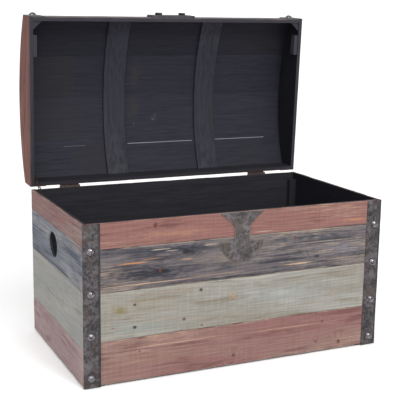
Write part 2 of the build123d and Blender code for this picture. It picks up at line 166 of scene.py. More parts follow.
def linear(colour):
    """A 0 to 255 display colour as linear RGBA."""
    out = []
    for level in colour:
        share = level / 255
        level = share / 12.92 if share <= 0.04045 else ((share + 0.055) / 1.055) ** 2.4
        out.append(level / STUDIO_GAIN)
    return (*out, 1.0)


# Shader nodes


class Shader:
    """A Principled material and short ways to add nodes to it."""

    def __init__(self, name, metallic=0.0, specular=0.5):
        self.material = bpy.data.materials.new(name)
        self.material.use_nodes = True
        self.tree = self.material.node_tree
        self.tree.nodes.clear()
        output = self.tree.nodes.new("ShaderNodeOutputMaterial")
        self.surface = self.tree.nodes.new("ShaderNodeBsdfPrincipled")
        self.surface.inputs["Metallic"].default_value = metallic
        self.surface.inputs["Specular IOR Level"].default_value = specular
        self.tree.links.new(self.surface.outputs["BSDF"], output.inputs["Surface"])

    def put(self, socket, value):
        """Link an output, or set a plain value."""
        if isinstance(value, bpy.types.NodeSocket):
            self.tree.links.new(value, socket)
        else:
            socket.default_value = value

    def board_place(self):
        node = self.tree.nodes.new("ShaderNodeAttribute")
        node.attribute_name = BOARD
        return node.outputs["Vector"]

    def object_place(self):
        return self.tree.nodes.new("ShaderNodeTexCoord").outputs["Object"]

    def object_normal(self):
        return self.tree.nodes.new("ShaderNodeTexCoord").outputs["Normal"]

    def moved(self, place, scale=(1, 1, 1), shift=(0, 0, 0)):
        """A place scaled about the origin, then shifted."""
        node = self.tree.nodes.new("ShaderNodeMapping")
        self.put(node.inputs["Vector"], place)
        node.inputs["Scale"].default_value = scale
        node.inputs["Location"].default_value = shift
        return node.outputs["Vector"]

    def parts(self, place):
        node = self.tree.nodes.new("ShaderNodeSeparateXYZ")
        self.put(node.inputs[0], place)
        return node.outputs

    def noise(self, place, scale=1.0, detail=3.0, rough=0.55, twist=0.0):
        node = self.tree.nodes.new("ShaderNodeTexNoise")
        self.put(node.inputs["Vector"], place)
        node.inputs["Scale"].default_value = scale
        node.inputs["Detail"].default_value = detail
        node.inputs["Roughness"].default_value = rough
        node.inputs["Distortion"].default_value = twist
        return node.outputs["Fac"]

    def cells(self, place, scale):
        """Distance to the nearest of scattered points, for dents."""
        node = self.tree.nodes.new("ShaderNodeTexVoronoi")
        self.put(node.inputs["Vector"], place)
        node.inputs["Scale"].default_value = scale
        return node.outputs["Distance"]

    def math(self, kind, a, b=0.0):
        node = self.tree.nodes.new("ShaderNodeMath")
        node.operation = kind
        self.put(node.inputs[0], a)
        self.put(node.inputs[1], b)
        return node.outputs[0]

    def times(self, a, b):
        return self.math("MULTIPLY", a, b)

    def weighted(self, a, b, share):
        """Both values added up, with this share of the first."""
        return self.math("ADD", self.times(a, share), self.times(b, 1 - share))

    def band(self, value, low, high, out_low=0.0, out_high=1.0):
        """Smooth step of a value between two levels."""
        node = self.tree.nodes.new("ShaderNodeMapRange")
        node.interpolation_type = "SMOOTHSTEP"
        self.put(node.inputs["Value"], value)
        node.inputs["From Min"].default_value = low
        node.inputs["From Max"].default_value = high
        node.inputs["To Min"].default_value = out_low
        node.inputs["To Max"].default_value = out_high
        return node.outputs["Result"]

    def mix(self, share, a, b, kind="MIX"):
        """The first colour turned into the second by a share. A tuple is a display colour."""
        node = self.tree.nodes.new("ShaderNodeMix")
        node.data_type = "RGBA"
        node.blend_type = kind
        self.put(node.inputs["Factor"], share)
        for socket, value in ((node.inputs["A"], a), (node.inputs["B"], b)):
            self.put(socket, linear(value) if isinstance(value, tuple) else value)
        return node.outputs["Result"]

    def grey(self, level):
        node = self.tree.nodes.new("ShaderNodeCombineXYZ")
        for axis in range(3):
            self.put(node.inputs[axis], level)
        return node.outputs[0]

    def shaded(self, colour, level):
        """The colour multiplied by a grey level."""
        return self.mix(1.0, colour, self.grey(level), "MULTIPLY")

    def finish(self, colour, roughness, height, depth):
        """Plug in colour, roughness and a bump of the given depth in metres."""
        bump = self.tree.nodes.new("ShaderNodeBump")
        bump.inputs["Distance"].default_value = depth
        bump.inputs["Strength"].default_value = 1.0
        self.put(bump.inputs["Height"], height)
        self.put(self.surface.inputs["Normal"], bump.outputs["Normal"])
        self.put(self.surface.inputs["Base Color"], colour)
        self.put(self.surface.inputs["Roughness"], roughness)
        return self.material


def mark_reach(shader, place, mark):
    """Distance from a mark's middle, counted in its own half sizes."""
    (along, across), (half_long, half_wide) = mark["at"], mark["half"]
    shifted = shader.moved(place, shift=(-along, -across, 0))
    scaled = shader.moved(shifted, scale=(1 / half_long, 1 / half_wide, 0))
    if mark["square"]:
        x, y, _ = shader.parts(scaled)
        return shader.math("MAXIMUM", shader.math("ABSOLUTE", x), shader.math("ABSOLUTE", y))
    length = shader.tree.nodes.new("ShaderNodeVectorMath")
    length.operation = "LENGTH"
    shader.put(length.inputs[0], scaled)
    return length.outputs["Value"]


def mark_share(shader, reach, mark, ragged):
    """How much of a mark there is at a point: 1 in the middle and 0 outside its ragged edge."""
    uneven = shader.math("ADD", reach, shader.times(ragged, mark["ragged"]))
    edge = 1.0 + mark["ragged"] / 2
    return shader.times(shader.band(uneven, edge, edge - mark["soft"]), mark["strength"])


def growth_lines(shader, place, here, knots):
    """Thin dark latewood lines that wander along the board and bend round its knots."""
    wander = shader.noise(shader.moved(here, WANDER), detail=2.0, rough=0.45)
    phase = shader.times(wander, 9.0)
    for reach in knots:
        phase = shader.math("ADD", phase, shader.band(reach, 4.0, 0.8, 0.0, 2.2))
    across = shader.parts(place)[1]
    phase = shader.math("ADD", phase, shader.times(across, GROWTH_LINES))
    ring = shader.math("FRACT", phase)
    return shader.times(shader.band(ring, 0.35, 0.93), shader.band(ring, 1.0, 0.95))


def board_colour(shader, look, place, here, marks, ragged):
    """The colour of a board's face, and the fine and coarse grain that its bump uses."""
    first, second, dark, pale, dark_cover, pale_cover = LOOKS[look]
    fine = shader.noise(shader.moved(here, FIBRES), detail=4.0, rough=0.65)
    grain = shader.noise(shader.moved(here, GRAIN), detail=5.0, rough=0.62, twist=0.5)
    broad = shader.noise(shader.moved(here, BROAD_TONE), detail=3.0, rough=0.55, twist=0.4)
    blotch = shader.noise(shader.moved(here, BLOTCHES, (3.1, 7.7, 0)), detail=4.0, rough=0.6)
    saw = shader.noise(shader.moved(here, SAW_MARKS), detail=3.0, rough=0.6)
    reaches = [mark_reach(shader, place, mark) for mark in marks]
    knots = [reach for reach, mark in zip(reaches, marks) if mark["knot"]]
    rings = growth_lines(shader, place, here, knots)

    colour = shader.mix(shader.band(broad, 0.36, 0.64), first, second)
    stain = shader.weighted(blotch, grain, 0.5)
    edge = 0.66 - 0.22 * dark_cover
    stain_share = shader.times(shader.band(stain, edge - 0.07, edge + 0.06), 0.8)
    colour = shader.mix(stain_share, colour, dark)
    colour = shader.mix(shader.times(rings, 0.18 + 0.3 * dark_cover), colour, dark)
    wear = shader.weighted(fine, broad, 0.5)
    edge = 0.64 - 0.22 * pale_cover
    wear_share = shader.times(shader.band(wear, edge - 0.03, edge + 0.06), 0.55)
    colour = shader.mix(wear_share, colour, pale)
    for reach, mark in zip(reaches, marks):
        colour = shader.mix(mark_share(shader, reach, mark, ragged), colour, mark["colour"])

    # The fibres and the cross saw marks darken and lighten everything a little.
    fibre_shade = shader.band(fine, 0.28, 0.72, 0.86, 1.12)
    saw_shade = shader.band(saw, 0.3, 0.7, 0.94, 1.05)
    return shader.shaded(colour, shader.times(fibre_shade, saw_shade)), fine, grain


def stained_board(
    name,
    look,
    size,
    seed,
    marks,
    inner,
    inner_marks=(),
    paint_depth=0.64,
    edge_wear=0.6,
    rim=None,
):
    """Paint worn through to wood on the face, black stain on the hidden side. paint_depth is the share
    of the board's thickness that stays black on its edges, edge_wear how pale its worn long edges are,
    and rim the colour of its lower edge."""
    shader = Shader(name, specular=0.28)
    place = shader.board_place()
    here = shader.moved(place, shift=(seed * 1.37, seed * 0.213, 0))
    ragged = shader.noise(shader.moved(here, RAGGED_EDGE), detail=3.0)
    broken = shader.noise(shader.moved(here, BROKEN_WEAR), detail=3.0)
    colour, fine, grain = board_colour(shader, look, place, here, marks, ragged)

    # Thin pale wear along the two long edges, broken up along the grain.
    _, across, depth = shader.parts(place)
    edge = shader.math("MINIMUM", across, shader.math("SUBTRACT", size[1], across))
    edge_share = shader.times(shader.band(edge, 2.6 * MM, 0.6 * MM), shader.band(broken, 0.40, 0.58))
    colour = shader.mix(shader.times(edge_share, edge_wear), colour, PALE)

    black = shader.mix(shader.band(shader.weighted(grain, fine, 0.5), 0.32, 0.68), inner[0], inner[1])
    for mark in inner_marks:
        share = mark_share(shader, mark_reach(shader, place, mark), mark, ragged)
        black = shader.mix(share, black, mark["colour"])
    if rim:
        black = shader.mix(shader.band(across, 0.5 * MM, 0.2 * MM, 0.0, 0.8), black, rim)
        colour = shader.mix(shader.band(across, 14 * MM, 3 * MM, 0.0, 0.75), colour, rim)

    uneven = shader.times(shader.math("SUBTRACT", broken, 0.5), 0.16 * size[2])
    limit, soft = paint_depth * size[2], 0.04 * size[2]
    black_share = shader.band(shader.math("ADD", depth, uneven), limit + soft, limit - soft)
    colour = shader.mix(black_share, colour, black)
    height = shader.weighted(fine, grain, 0.6)
    return shader.finish(colour, shader.band(fine, 0.2, 0.8, 0.84, 0.64), height, 0.5 * MM)


def dark_wood(name, colours, along):
    """Softwood under black stain, for pieces that keep their own shape. along is the grain's axis."""
    shader = Shader(name, specular=0.3)
    place = shader.object_place()
    scale = [150.0, 150.0, 150.0]
    scale[along] = 6.0
    grain = shader.noise(shader.moved(place, scale), detail=5.0, rough=0.6)
    broad = shader.noise(shader.moved(place, [cells / 9 for cells in scale]), detail=3.0)
    tone = shader.weighted(grain, broad, 0.55)
    colour = shader.mix(shader.band(tone, 0.34, 0.66), colours[0], colours[1])
    return shader.finish(colour, shader.band(grain, 0.3, 0.7, 0.75, 0.55), grain, 0.4 * MM)


def mottled_iron(name, dark, light, rust, width=None, bevel_wear_and_highlight=None):
    """Hand-worked iron: dark and light mottling, brown rust between and fine pale specks. A strap of the
    given width gets painted shade along one long edge; a plate gets worn bare metal and a painted
    highlight of the given colour on its bevelled rim."""
    shader = Shader(name, metallic=0.4)
    place = shader.object_place()
    large = shader.noise(place, scale=34.0, detail=4.0, rough=0.6, twist=0.5)
    small = shader.noise(place, scale=150.0, detail=5.0, rough=0.7)
    rusty = shader.noise(shader.moved(place, shift=(0.7, 0.3, 0.9)), scale=60.0, detail=5.0, rough=0.7)
    specks = shader.noise(place, scale=420.0, detail=2.0)
    colour = shader.mix(shader.band(shader.weighted(large, small, 0.45), 0.40, 0.62), dark, light)
    colour = shader.mix(shader.times(shader.band(rusty, 0.47, 0.64), 0.8), colour, rust)
    colour = shader.mix(shader.times(shader.band(specks, 0.60, 0.70), 0.5), colour, light)
    # Painted shade: a dark band along one long edge of a strap, standing for its bevel turned from the
    # light.
    if width:
        across = shader.parts(shader.board_place())[1]
        uneven = shader.math("ADD", across, shader.times(rusty, 10 * MM))
        share = shader.band(uneven, width - 4 * MM, width + 2 * MM, 0.0, 0.75)
        colour = shader.mix(share, colour, STRAP_EDGE_SHADE)
    # Faces that turn away from the front, the plate's bevelled rim, are lightened: worn bare metal and a
    # painted highlight.
    if bevel_wear_and_highlight:
        facing = shader.math("ABSOLUTE", shader.parts(shader.object_normal())[1])
        colour = shader.mix(shader.band(facing, 0.95, 0.80, 0.0, 0.8), colour, bevel_wear_and_highlight)
    height = shader.weighted(shader.cells(place, 95.0), small, 0.6)
    return shader.finish(colour, shader.band(small, 0.3, 0.7, 0.45, 0.68), height, 0.6 * MM)


def worn_steel(name, bright, dull, rough_low, rough_high):
    """Polished or dull steel with grime in patches."""
    shader = Shader(name, metallic=0.9)
    place = shader.object_place()
    patches = shader.noise(place, scale=120.0, detail=4.0, rough=0.6)
    scratches = shader.noise(shader.moved(place, (900, 180, 500)), detail=3.0)
    colour = shader.mix(shader.band(patches, 0.42, 0.66), bright, dull)
    roughness = shader.band(patches, 0.4, 0.7, rough_low, rough_high)
    return shader.finish(colour, roughness, scratches, 0.03 * MM)


# Meshes


def value_noise(u, v, seed):
    """Smooth noise from -1 to 1 over a plane. u and v count cells."""
    table = np.random.default_rng(seed).uniform(-1, 1, (64, 64))
    iu, iv = np.floor(u).astype(int), np.floor(v).astype(int)
    fu, fv = u - iu, v - iv
    fu, fv = fu * fu * (3 - 2 * fu), fv * fv * (3 - 2 * fv)

    def at(i, j):
        return table[i % 64, j % 64]

    low = at(iu, iv) * (1 - fu) + at(iu + 1, iv) * fu
    high = at(iu, iv + 1) * (1 - fu) + at(iu + 1, iv + 1) * fu
    return low * (1 - fv) + high * fv


def grid_lines(length, pitch, extra=()):
    """Positions along one side of a board: close together at both ends and even between."""
    ends = [0.0, *EDGE_LINES]
    first = ends[-1]
    count = max(1, round((length - 2 * first) / pitch))
    middle = np.linspace(first, length - first, count + 1)
    found = [*ends, *middle, *[length - e for e in ends], *extra]
    return np.unique(np.round(found, 7))


def lattice(along, across, depth):
    """The surface of a block cut by the given grid lines, as points and four-sided faces."""
    shape = (len(along), len(across), len(depth))
    number = -np.ones(shape, int)
    grid = np.indices(shape)
    shell = np.zeros(shape, bool)
    for axis in range(3):
        shell |= (grid[axis] == 0) | (grid[axis] == shape[axis] - 1)
    number[shell] = np.arange(shell.sum())
    i, j, k = (grid[axis][shell] for axis in range(3))
    points = np.stack([along[i], across[j], depth[k]], 1)
    faces = []
    for axis in range(3):
        for side in (0, shape[axis] - 1):
            sheet = np.take(number, side, axis)
            quads = np.stack([sheet[:-1, :-1], sheet[1:, :-1], sheet[1:, 1:], sheet[:-1, 1:]], -1)
            faces.append(quads.reshape(-1, 4))
    return points, np.concatenate(faces)


def block(size, pitch, layers, extra=()):
    """The surface of a block of the given size, with extra grid lines across it."""
    return lattice(grid_lines(size[0], pitch), grid_lines(size[1], pitch, extra), layers * size[2])


def worn(points, size, seed, wear, grooves=()):
    """Points of a block with its outer face dented, its long edges rounded and its sides ragged."""
    dip, edge_round, ragged = wear
    along, across, depth = points.T.copy()
    outer = depth / size[2]
    low_side = across < size[1] / 2
    side = np.where(low_side, 1.0, -1.0)
    edge = np.where(low_side, across, size[1] - across)
    end = np.minimum(along, size[0] - along)
    lane = np.where(low_side, 3.0, 11.0)
    dents = value_noise(along / (70 * MM), across / (11 * MM), seed) * 0.6
    dents += value_noise(along / (24 * MM), across / (5 * MM), seed + 1) * 0.4
    radius = edge_round * (1.1 + 0.7 * value_noise(along / (38 * MM), lane, seed + 2))
    chips = value_noise(along / (17 * MM), lane, seed + 3)
    radius = radius + edge_round * 1.6 * np.clip(chips - 0.62, 0, 1) / 0.38
    share = np.clip(1 - np.minimum(edge, end) / radius, 0, 1)
    drop = np.minimum(radius * (1 - np.sqrt(1 - share**2)), size[2] * 0.6)
    sink = dip * (0.5 + 0.5 * dents) + drop
    for place, half, deep in grooves:
        sink += deep * np.exp(-(((across - place) / half) ** 2))
    depth = depth - outer * np.minimum(sink, size[2] * 0.8)
    wander = ragged * (0.5 + 0.5 * value_noise(along / (45 * MM), lane, seed + 4))
    near = np.clip(1 - edge / (4 * MM), 0, 1)
    across = across + side * outer * near * wander
    return np.stack([along, across, depth], 1)


def build_piece(name, node, points, faces, local, material):
    """A smooth-shaded mesh that stands for a CAD node, rides on its body and keeps board coordinates."""
    mesh = bpy.data.meshes.new(name)
    mesh.from_pydata(points.tolist(), [], faces.tolist())
    place = mesh.attributes.new(BOARD, "FLOAT_VECTOR", "POINT")
    place.data.foreach_set("vector", local.astype(np.float32).ravel())
    surface = bmesh.new()
    surface.from_mesh(mesh)
    bmesh.ops.recalc_face_normals(surface, faces=surface.faces)
    for face in surface.faces:
        face.smooth = True
    for edge in surface.edges:
        edge.smooth = edge.calc_face_angle(0.0) < CREASE
    surface.to_mesh(mesh)
    surface.free()
    mesh.materials.append(material)
    piece = bpy.data.objects.new(name, mesh)
    bpy.context.scene.collection.objects.link(piece)
    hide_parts(node)
    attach(piece, NODES[node]["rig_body"])
    return piece


def straight_board(node, axes, signs, look, seed, marks=(), grooves=()):
    """A worn board in the box of its node. axes says which of X, Y and Z is along, across and depth;
    signs says which way depth runs from the hidden face."""
    low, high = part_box(node)
    size = [high[axis] - low[axis] for axis in axes]
    extra = [place + step * MM for place, _, _ in grooves for step in (-2, -1, 0, 1, 2)]
    local, faces = block(size, BOARD_PITCH, BOARD_LAYERS, extra)
    shaped = worn(local, size, seed, BOARD_WEAR, grooves)
    points = np.zeros_like(shaped)
    for column, axis in enumerate(axes):
        if column == 2 and signs < 0:
            points[:, axis] = high[axis] - shaped[:, column]
        else:
            points[:, axis] = low[axis] + shaped[:, column]
    inner = BLACK_END if node.startswith("right") else BLACK_BOX
    wear = 0.2 if node.endswith("_1") else 0.6
    material = stained_board(node + "_finish", look, size, seed, marks, inner, edge_wear=wear)
    return build_piece(node + "_worn", node, points, faces, local, material)


def mark(along, across, half_long, half_wide, colour, strength, ragged=1.2, soft=0.7, kind="streak"):
    """A mark on a board: its middle from the board's left end and lower edge, and half sizes, in mm."""
    return {
        "at": (along * MM, across * MM),
        "half": (half_long * MM, half_wide * MM),
        "colour": colour,
        "strength": strength,
        "ragged": ragged,
        "soft": soft,
        "knot": kind == "knot",
        "square": kind == "square",
    }


def knot(along, across, half_long, half_wide, colour=KNOT_BROWN, strength=0.85):
    return mark(along, across, half_long, half_wide, colour, strength, 0.5, 0.7, "knot")


def nail(along, across, radius=4.0, colour=(58, 46, 40)):
    return mark(along, across, radius, radius * 0.9, colour, 0.85, 0.4, 0.6)


def streak(along, across, half_long, half_wide, colour, strength=0.7):
    return mark(along, across, half_long, half_wide, colour, strength)


def line(along, across, half_long, half_wide, colour, strength=0.8):
    return mark(along, across, half_long, half_wide, colour, strength, 0.5, 0.8)


def zone(along, across, half_long, half_wide, colour, strength=0.5):
    return mark(along, across, half_long, half_wide, colour, strength, 1.8, 1.2)


def patch(along, across, half_long, half_wide, colour, strength=0.5):
    return mark(along, across, half_long, half_wide, colour, strength, 0.02, 0.03, "square")


FRONT_MARKS = {
    1: (
        zone(206, 22, 140, 12, (188, 142, 114), 0.55),
        zone(560, 38, 150, 16, (146, 94, 90), 0.6),
        zone(570, 12, 140, 12, (150, 104, 102), 0.5),
        zone(300, 30, 60, 20, (150, 100, 96), 0.5),
        zone(677, 14, 60, 6, (204, 142, 104), 0.75),
        line(428, 6.5, 38, 1.6, PALE, 0.9),
        knot(157, 43, 7, 10, (108, 54, 52), 0.9),
    ),
    2: (
        zone(330, 50, 110, 24, (140, 128, 120), 0.7),
        mark(150, 36, 145, 21, (60, 63, 80), 0.75, 1.0, 1.0),
        mark(165, 84, 155, 10, (60, 63, 80), 0.7, 1.0, 1.0),
        zone(190, 84, 165, 11, (50, 52, 64), 0.9),
        zone(130, 34, 135, 25, SOOT, 1.0),
        zone(245, 74, 48, 20, (42, 44, 56), 0.95),
        zone(380, 4, 340, 6, (50, 50, 60), 0.95),
        zone(560, 80, 190, 16, (62, 66, 78), 0.95),
        zone(655, 44, 55, 16, (134, 132, 146), 0.75),
        zone(600, 50, 100, 9, (126, 122, 128), 0.6),
        zone(560, 64, 120, 10, (88, 88, 98), 0.6),
        zone(43, 36, 9, 26, (132, 116, 104), 0.6),
        line(105, 61, 52, 2.6, ORANGE, 0.95),
        line(150, 67, 36, 1.3, ORANGE, 0.7),
        streak(235, 58, 20, 2.2, (192, 144, 114), 0.9),
        streak(170, 86, 30, 1.6, PALE, 0.9),
        line(120, 20, 120, 1.0, (150, 134, 120), 0.6),
        line(420, 40, 80, 1.0, (172, 152, 138), 0.7),
        line(470, 56, 110, 1.3, (66, 62, 68), 0.7),
        streak(196, 81, 18, 1.3, PALE, 0.8),
        streak(294, 86, 24, 3, (184, 166, 150), 0.8),
        line(140, 12, 190, 1.7, (204, 172, 142), 0.95),
        line(300, 15, 100, 1.5, TAN, 0.8),
        streak(480, 30, 120, 5, (58, 56, 64), 0.9),
        line(590, 70, 130, 1.6, (54, 52, 58), 0.85),
        line(600, 66, 120, 1.4, (182, 166, 152), 0.8),
        mark(524, 18, 56, 2.6, (208, 176, 142), 0.95, 0.9, 0.7),
        streak(650, 20, 64, 2.6, (164, 144, 128), 0.85),
        mark(174, 37, 26, 13, (34, 31, 36), 0.95, 1.0, 0.9),
        knot(169, 38, 5, 7, (110, 68, 44), 0.8),
        knot(231, 75, 13, 11, (40, 35, 38), 0.9),
        knot(572, 31, 13, 6, (50, 48, 56), 0.85),
        knot(510, 82, 7, 6, (112, 72, 64), 0.7),
    ),
    3: (
        zone(120, 72, 140, 30, (162, 150, 130), 0.5),
        zone(130, 22, 150, 18, (146, 155, 147), 0.6),
        streak(190, 34, 60, 2.4, (176, 148, 134), 0.6),
        zone(200, 98, 170, 8, (156, 136, 116), 0.55),
        zone(470, 60, 190, 34, (168, 174, 174), 0.55),
        zone(351, 68, 22, 15, (186, 160, 134), 0.55),
        zone(76, 67, 28, 19, (134, 120, 70), 0.8),
        zone(59, 28, 11, 3.4, (140, 92, 78), 0.85),
        zone(331, 22, 7, 6, (122, 128, 104), 0.55),
        streak(300, 24, 120, 1.2, (186, 158, 132), 0.55),
        streak(560, 22, 140, 1.2, (188, 162, 136), 0.55),
        knot(351, 68, 4, 7, (206, 148, 104), 0.75),
        knot(620, 42, 4, 5, (196, 150, 112), 0.7),
        nail(109, 76, 5.0),
        nail(109, 24, 5.8, (34, 28, 28)),
        nail(269, 92, 6.0),
        nail(228, 28, 6.0, (100, 72, 56)),
        nail(272, 8, 4.4, (104, 100, 88)),
    ),
    4: (
        zone(380, 91, 380, 8, (144, 96, 96), 0.55),
        zone(150, 45, 160, 24, (152, 120, 106), 0.5),
        zone(126, 98, 18, 3, (112, 62, 58), 0.8),
        line(193, 26, 58, 1.5, (84, 60, 58), 0.85),
        line(205, 75.5, 190, 1.6, (206, 168, 142), 0.95),
        line(500, 72, 130, 1.5, (198, 160, 136), 0.75),
        knot(355, 23, 7, 6, (102, 60, 58), 0.8),
        knot(351, 3, 7, 4, (108, 66, 62), 0.7),
        knot(644, 16, 7, 8, (98, 54, 50), 0.85),
        knot(595, 75, 6, 6, (112, 68, 64), 0.75),
        knot(578, 26, 7, 5, (112, 68, 64), 0.75),
        nail(120, 66, 3.5, (104, 62, 56)),
    ),
}
LEFT_MARKS = {
    1: (
        zone(150, 30, 70, 12, (150, 88, 82), 0.6),
        zone(330, 20, 60, 14, (160, 140, 130), 0.5),
        nail(70, 20, 3, (96, 60, 58)),
    ),
    2: (
        zone(40, 92, 70, 8, (152, 118, 112), 0.65),
        zone(120, 44, 100, 30, (140, 142, 149), 0.65),
        zone(330, 50, 80, 30, (98, 104, 118), 0.55),
        line(165, 8, 130, 3.6, (64, 68, 80), 0.95),
        line(165, 2.5, 130, 1.4, (184, 184, 186), 0.8),
        streak(80, 60, 60, 1.2, (170, 178, 192), 0.6),
        streak(120, 30, 70, 1.2, (164, 170, 184), 0.55),
        streak(300, 44, 60, 1.4, (166, 172, 184), 0.55),
    ),
    3: (
        zone(280, 60, 110, 26, (150, 152, 148), 0.5),
        zone(60, 40, 60, 20, (160, 156, 148), 0.5),
        streak(200, 84, 120, 1.3, (182, 176, 166), 0.5),
        nail(150, 70, 3.6, (110, 92, 80)),
    ),
    4: (
        zone(300, 70, 90, 16, (144, 112, 116), 0.55),
        zone(90, 30, 70, 20, (166, 146, 138), 0.5),
        mark(277, 38, 1.6, 17, (202, 178, 170), 0.6, 0.5, 0.8),
        streak(330, 20, 40, 1.2, (190, 168, 162), 0.6),
    ),
}
PLANK_4_GROOVE = ((74 * MM, 1.2 * MM, 0.7 * MM),)

# Marks on the black inside of the lid's boards.
LID_INNER_MARKS = {
    "lid_stave_1": (patch(650, 50, 90, 60, (30, 30, 37), 0.5),),
    "lid_stave_2": (
        patch(60, 50, 75, 60, (46, 42, 45), 0.5),
        zone(298, 50, 24, 60, (66, 58, 50), 0.6),
        patch(360, 50, 66, 60, (44, 44, 54), 0.3),
        streak(330, 60, 30, 0.9, (92, 90, 94), 0.5),
    ),
    "lid_stave_3": (
        patch(78, 50, 80, 60, (48, 45, 50), 0.5),
        zone(298, 30, 24, 50, (64, 58, 50), 0.55),
        zone(354, 62, 14, 12, (84, 80, 76), 0.5),
        nail(351, 66, 1.8, (150, 144, 136)),
        nail(359, 52, 1.5, (140, 136, 130)),
        nail(296, 76, 1.6, (140, 134, 126)),
        nail(515, 30, 1.6, (150, 150, 150)),
    ),
    "lid_stave_4": (
        patch(190, 50, 68, 60, (42, 42, 49), 0.7),
        patch(640, 50, 66, 60, (40, 40, 47), 0.4),
        patch(370, 0.7, 96, 1.0, (158, 158, 168), 0.9),
        patch(612, 0.7, 78, 1.0, (158, 158, 168), 0.9),
        patch(128, 0.7, 30, 0.8, (110, 110, 118), 0.7),
    ),
}


def random_marks(seed, length, width, count):
    """A few knots and streaks at random on a board that has none of its own."""
    rng = np.random.default_rng(seed)
    marks = []
    for number in range(count):
        along = rng.uniform(0.05, 0.95) * length / MM
        across = rng.uniform(0.1, 0.9) * width / MM
        if number % 3 == 0:
            marks.append(knot(along, across, rng.uniform(5, 8), rng.uniform(4, 7), KNOT_BROWN, 0.7))
        elif number % 3 == 1:
            marks.append(streak(along, across, rng.uniform(30, 90), rng.uniform(1.2, 2.2), TAN, 0.7))
        else:
            marks.append(zone(along, across, rng.uniform(50, 120), rng.uniform(8, 16), SOOT, 0.25))
    return marks


def box_boards():
    """The sixteen wall boards of the box."""
    front = ("red", "slate", "sage", "rust")
    sides = ("side_red", "side_slate", "side_sage", "side_rust")
    for number in range(1, 5):
        grooves = PLANK_4_GROOVE if number == 4 else ()
        name = f"front_plank_{number}"
        straight_board(name, (0, 2, 1), -1, front[number - 1], number, FRONT_MARKS[number], grooves)
        for wall, axes, sign, looks, seed in (
            ("back", (0, 2, 1), 1, front, 20),
            ("left", (1, 2, 0), -1, sides, 40),
            ("right", (1, 2, 0), 1, front, 60),
        ):
            name = f"{wall}_plank_{number}"
            low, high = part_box(name)
            marks = random_marks(seed + number, high[axes[0]] - low[axes[0]], high[2] - low[2], 6)
            if wall == "left":
                marks = LEFT_MARKS[number]
            piece = straight_board(name, axes, sign, looks[number - 1], seed + number, marks)
            if number == 2 and wall in ("left", "right"):
                cut_hand_hole(piece, name)


def hand_hole_outline(name):
    """Middle and half sizes of the hand hole, from the ring of points inside the board's node."""
    low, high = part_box(name)
    points = np.array([v.co for v in NODES[name].data.vertices])
    end_margin, edge_margin = 60 * MM, 8 * MM
    inside = (points[:, 1] > low[1] + end_margin) & (points[:, 1] < high[1] - end_margin)
    inside &= (points[:, 2] > low[2] + edge_margin) & (points[:, 2] < high[2] - edge_margin)
    ring = points[inside]
    # The hole flares at both faces, so its own size is that of the points deep inside the board.
    deep = 3.2 * MM
    narrow = ring[np.abs(ring[:, 0] - (low[0] + high[0]) / 2) < deep]
    y0, y1 = narrow[:, 1].min(), narrow[:, 1].max()
    z0, z1 = narrow[:, 2].min(), narrow[:, 2].max()
    return (y0 + y1) / 2, (z0 + z1) / 2, (y1 - y0) / 2, (z1 - z0) / 2


def hole_cutter(name):
    """A plug the shape of the hand hole, slightly uneven and flared where it leaves the board."""
    y, z, half_y, half_z = hand_hole_outline(name)
    low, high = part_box(name)
    half_thick, middle_x = (high[0] - low[0]) / 2, (low[0] + high[0]) / 2
    points = []
    for step in range(-HOLE_STEPS, HOLE_STEPS + 1):
        x = step / HOLE_STEPS * (half_thick + 1 * MM)
        near = np.clip((abs(x) - (half_thick - HOLE_LIP)) / HOLE_LIP, 0, 1.4)
        flare = HOLE_LIP * near**2 * 0.8
        for turn in range(HOLE_POINTS):
            angle = 2 * math.pi * turn / HOLE_POINTS
            wobble = 0.35 * MM * math.sin(5 * angle + 1.3) + 0.25 * MM * math.sin(9 * angle)
            reach_y, reach_z = half_y + flare + wobble, half_z + flare + wobble
            points.append((middle_x + x, y + reach_y * math.cos(angle), z + reach_z * math.sin(angle)))
    faces = []
    for step in range(2 * HOLE_STEPS):
        for turn in range(HOLE_POINTS):
            a, b = step * HOLE_POINTS + turn, step * HOLE_POINTS + (turn + 1) % HOLE_POINTS
            faces.append((a, b, b + HOLE_POINTS, a + HOLE_POINTS))
    faces.append(tuple(range(HOLE_POINTS)))
    faces.append(tuple(reversed(range(len(points) - HOLE_POINTS, len(points)))))
    mesh = bpy.data.meshes.new("hole_cutter")
    mesh.from_pydata(points, [], faces)
    surface = bmesh.new()
    surface.from_mesh(mesh)
    bmesh.ops.recalc_face_normals(surface, faces=surface.faces)
    for face in surface.faces:
        face.smooth = True
    surface.to_mesh(mesh)
    surface.free()
    cutter = bpy.data.objects.new("hole_cutter", mesh)
    bpy.context.scene.collection.objects.link(cutter)
    return cutter


def cut_hand_hole(piece, name):
    """Cut the hand hole through a side board, and give the new points their board coordinates."""
    cutter = hole_cutter(name)
    cut = piece.modifiers.new("hole", "BOOLEAN")
    cut.operation = "DIFFERENCE"
    cut.solver = "EXACT"
    cut.object = cutter
    bpy.context.view_layer.update()
    whole = piece.evaluated_get(bpy.context.evaluated_depsgraph_get())
    holed = bpy.data.meshes.new_from_object(whole)
    piece.modifiers.clear()
    piece.data = holed
    bpy.data.objects.remove(cutter)
    low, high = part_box(name)
    points = np.array([v.co for v in holed.vertices])
    depth = high[0] - points[:, 0] if "left" in name else points[:, 0] - low[0]
    local = np.stack([points[:, 1] - low[1], points[:, 2] - low[2], depth], 1)
    holed.attributes[BOARD].data.foreach_set("vector", local.astype(np.float32).ravel())


# The lid is shaped closed, where it is square to the axes, and turned open about its hinge.


def lid_turn(degrees):
    at = Vector(HINGE["pos_m"])
    turn = Matrix.Rotation(math.radians(degrees), 4, Vector(HINGE["axis"]))
    return np.array(Matrix.Translation(at) @ turn @ Matrix.Translation(-at))


